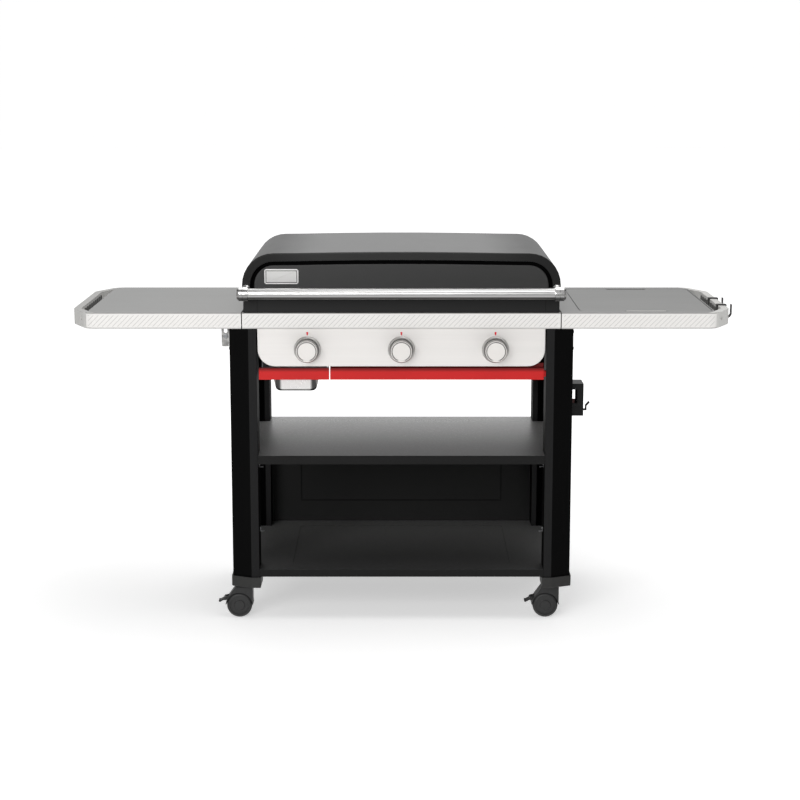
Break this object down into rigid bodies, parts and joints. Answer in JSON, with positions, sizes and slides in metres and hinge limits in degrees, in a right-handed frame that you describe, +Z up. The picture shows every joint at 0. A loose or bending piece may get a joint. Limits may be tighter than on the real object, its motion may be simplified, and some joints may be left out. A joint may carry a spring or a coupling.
{
  "type": "flat-top gas barbecue grill",
  "caption": "Wheeled flat-top gas grill with a hinged lid, knob controls, side tables with end grips, a grease drawer with drip cup, open shelves and braked casters.",
  "frame": {"origin": "on the ground, at the middle of the outline in plan; the cart's own middle plane is X = 0", "axes": "+X to the right of someone who faces the knobs, +Y away from them to the rear, +Z up"},
  "size_m": [1.9455, 0.6834, 1.1],
  "materials": {
    "black_paint": "black powder coat, fine texture",
    "shelf_paint": "dark grey powder coat, fine texture",
    "foot_plastic": "moulded dark grey plastic",
    "caster_plastic": "moulded black plastic, satin",
    "zinc_steel": "zinc plated",
    "rail_paint": "light metallic paint with a printed hatch",
    "table_steel": "brushed steel, grain from side to side",
    "cap_plastic": "light grey moulded plastic",
    "panel_steel": "bright brushed steel, grain across",
    "knob_metal": "satin light metal",
    "bezel_metal": "satin metal",
    "red_paint": "red gloss powder coat",
    "runner_steel": "galvanised sheet",
    "box_enamel": "black enamel",
    "griddle_iron": "seasoned carbon steel",
    "burner_steel": "plain steel tube",
    "valve_brass": "cast and turned brass",
    "lid_paint": "dark grey satin paint",
    "lid_panel_paint": "dark grey satin paint",
    "handle_steel": "polished steel tube",
    "handle_end_metal": "satin cast metal",
    "cup_steel": "bright pressed steel",
    "hook_paint": "black coated steel",
    "marker_red": "red plastic"
  },
  "bodies": {
    "cart": {"leg_front_left": "black_paint", "leg_front_right": "black_paint", "leg_rear_left": "black_paint", "leg_rear_right": "black_paint", "side_rails": "black_paint", "back_panel": "black_paint", "rear_rail": "black_paint", "tank_scale_housing": "black_paint", "cart_screws": "black_paint", "hinge_brackets": "black_paint", "middle_shelf": "shelf_paint", "bottom_shelf": "shelf_paint", "foot_caps": "foot_plastic", "caster_stems": "zinc_steel", "front_rail": "rail_paint", "left_table_bands": "rail_paint", "right_table_bands": "rail_paint", "left_table_top": "table_steel", "right_table_top": "table_steel", "left_end_cap": "cap_plastic", "right_end_cap": "cap_plastic", "left_table_bracket": "bezel_metal", "control_panel": "panel_steel", "knob_bezels": "bezel_metal", "gas_valves": "valve_brass", "lower_bar": "red_paint", "drawer_runners": "runner_steel", "cook_box": "box_enamel", "griddle_plate": "griddle_iron", "burners": "burner_steel", "gas_manifold": "burner_steel"},
    "lid": {"lid_shell": "lid_paint", "lid_front_panel": "lid_panel_paint", "handle_tube": "handle_steel", "handle_ends": "handle_end_metal", "hinge_arms": "lid_paint"},
    "valve_stem_left": {"valve_stem_left": "valve_brass"},
    "knob_left": {"knob_left": "knob_metal"},
    "valve_stem_middle": {"valve_stem_middle": "valve_brass"},
    "knob_middle": {"knob_middle": "knob_metal"},
    "valve_stem_right": {"valve_stem_right": "valve_brass"},
    "knob_right": {"knob_right": "knob_metal"},
    "grease_drawer": {"drawer_front": "red_paint", "grease_tray": "runner_steel", "drip_cup": "cup_steel"},
    "prep_board": {"prep_board": "table_steel"},
    "tool_hook_front": {"tool_hook_front": "hook_paint"},
    "tool_hook_rear": {"tool_hook_rear": "hook_paint"},
    "tank_hook": {"tank_hook": "hook_paint"},
    "scale_marker": {"scale_marker": "marker_red"},
    "caster_front_left": {"caster_body_front_left": "caster_plastic"},
    "wheels_front_left": {"caster_wheels_front_left": "caster_plastic"},
    "caster_front_right": {"caster_body_front_right": "caster_plastic"},
    "wheels_front_right": {"caster_wheels_front_right": "caster_plastic"},
    "caster_rear_left": {"caster_body_rear_left": "caster_plastic"},
    "wheels_rear_left": {"caster_wheels_rear_left": "caster_plastic"},
    "caster_rear_right": {"caster_body_rear_right": "caster_plastic"},
    "wheels_rear_right": {"caster_wheels_rear_right": "caster_plastic"},
    "brake_pedal_left": {"brake_pedal_left": "caster_plastic"},
    "brake_pedal_right": {"brake_pedal_right": "caster_plastic"}
  },
  "joints": [
    {"name": "lid_hinge", "type": "hinge", "parent": "cart", "child": "lid", "pos_m": [0, 0.33375, 0.973], "axis": [-1, 0, 0], "range_deg": [0, 95]},
    {"name": "knob_turn_left", "type": "hinge", "parent": "cart", "child": "valve_stem_left", "pos_m": [-0.2725, -0.26625, 0.816], "axis": [0, -1, 0], "range_deg": [0, 180]},
    {"name": "knob_press_left", "type": "slide", "parent": "valve_stem_left", "child": "knob_left", "axis": [0, 1, 0], "range_m": [0, 0.004], "stiffness_N_per_m": 600, "springref_m": -0.002},
    {"name": "knob_turn_middle", "type": "hinge", "parent": "cart", "child": "valve_stem_middle", "pos_m": [0, -0.26625, 0.816], "axis": [0, -1, 0], "range_deg": [0, 180]},
    {"name": "knob_press_middle", "type": "slide", "parent": "valve_stem_middle", "child": "knob_middle", "axis": [0, 1, 0], "range_m": [0, 0.004], "stiffness_N_per_m": 600, "springref_m": -0.002},
    {"name": "knob_turn_right", "type": "hinge", "parent": "cart", "child": "valve_stem_right", "pos_m": [0.2725, -0.26625, 0.816], "axis": [0, -1, 0], "range_deg": [0, 180]},
    {"name": "knob_press_right", "type": "slide", "parent": "valve_stem_right", "child": "knob_right", "axis": [0, 1, 0], "range_m": [0, 0.004], "stiffness_N_per_m": 600, "springref_m": -0.002},
    {"name": "drawer_slide", "type": "slide", "parent": "cart", "child": "grease_drawer", "axis": [0, -1, 0], "range_m": [0, 0.3]},
    {"name": "prep_board_lift", "type": "slide", "parent": "cart", "child": "prep_board", "axis": [0, 0, 1], "range_m": [0, 0.08]},
    {"name": "tool_hook_front_slide", "type": "slide", "parent": "cart", "child": "tool_hook_front", "axis": [0, 1, 0], "range_m": [-0.045, 0.06]},
    {"name": "tool_hook_rear_slide", "type": "slide", "parent": "cart", "child": "tool_hook_rear", "axis": [0, 1, 0], "range_m": [-0.06, 0.14]},
    {"name": "tank_hook_slide", "type": "slide", "parent": "cart", "child": "tank_hook", "axis": [0, 0, -1], "range_m": [0, 0.008], "stiffness_N_per_m": 20000},
    {"name": "marker_slide", "type": "slide", "parent": "cart", "child": "scale_marker", "axis": [0, 0, 1], "range_m": [0, 0.028]},
    {"name": "caster_swivel_front_left", "type": "hinge", "parent": "cart", "child": "caster_front_left", "pos_m": [-0.457, -0.21425, 0.09], "axis": [0, 0, 1], "continuous": true},
    {"name": "wheel_spin_front_left", "type": "hinge", "parent": "caster_front_left", "child": "wheels_front_left", "pos_m": [-0.484, -0.21425, 0.0375], "axis": [0, 1, 0], "continuous": true},
    {"name": "caster_swivel_front_right", "type": "hinge", "parent": "cart", "child": "caster_front_right", "pos_m": [0.457, -0.21425, 0.09], "axis": [0, 0, 1], "continuous": true},
    {"name": "wheel_spin_front_right", "type": "hinge", "parent": "caster_front_right", "child": "wheels_front_right", "pos_m": [0.43, -0.21425, 0.0375], "axis": [0, 1, 0], "continuous": true},
    {"name": "caster_swivel_rear_left", "type": "hinge", "parent": "cart", "child": "caster_rear_left", "pos_m": [-0.457, 0.27975, 0.09], "axis": [0, 0, 1], "continuous": true},
    {"name": "wheel_spin_rear_left", "type": "hinge", "parent": "caster_rear_left", "child": "wheels_rear_left", "pos_m": [-0.484, 0.27975, 0.0375], "axis": [0, 1, 0], "continuous": true},
    {"name": "caster_swivel_rear_right", "type": "hinge", "parent": "cart", "child": "caster_rear_right", "pos_m": [0.457, 0.27975, 0.09], "axis": [0, 0, 1], "continuous": true},
    {"name": "wheel_spin_rear_right", "type": "hinge", "parent": "caster_rear_right", "child": "wheels_rear_right", "pos_m": [0.43, 0.27975, 0.0375], "axis": [0, 1, 0], "continuous": true},
    {"name": "brake_press_left", "type": "hinge", "parent": "caster_front_left", "child": "brake_pedal_left", "pos_m": [-0.5268, -0.21425, 0.0565], "axis": [0, -1, 0], "range_deg": [0, 20]},
    {"name": "brake_press_right", "type": "hinge", "parent": "caster_front_right", "child": "brake_pedal_right", "pos_m": [0.3872, -0.21425, 0.0565], "axis": [0, -1, 0], "range_deg": [0, 20]}
  ],
  "couplings": [
    {"joint": "marker_slide", "follows": "tank_hook_slide", "ratio": 3.5}
  ]
}
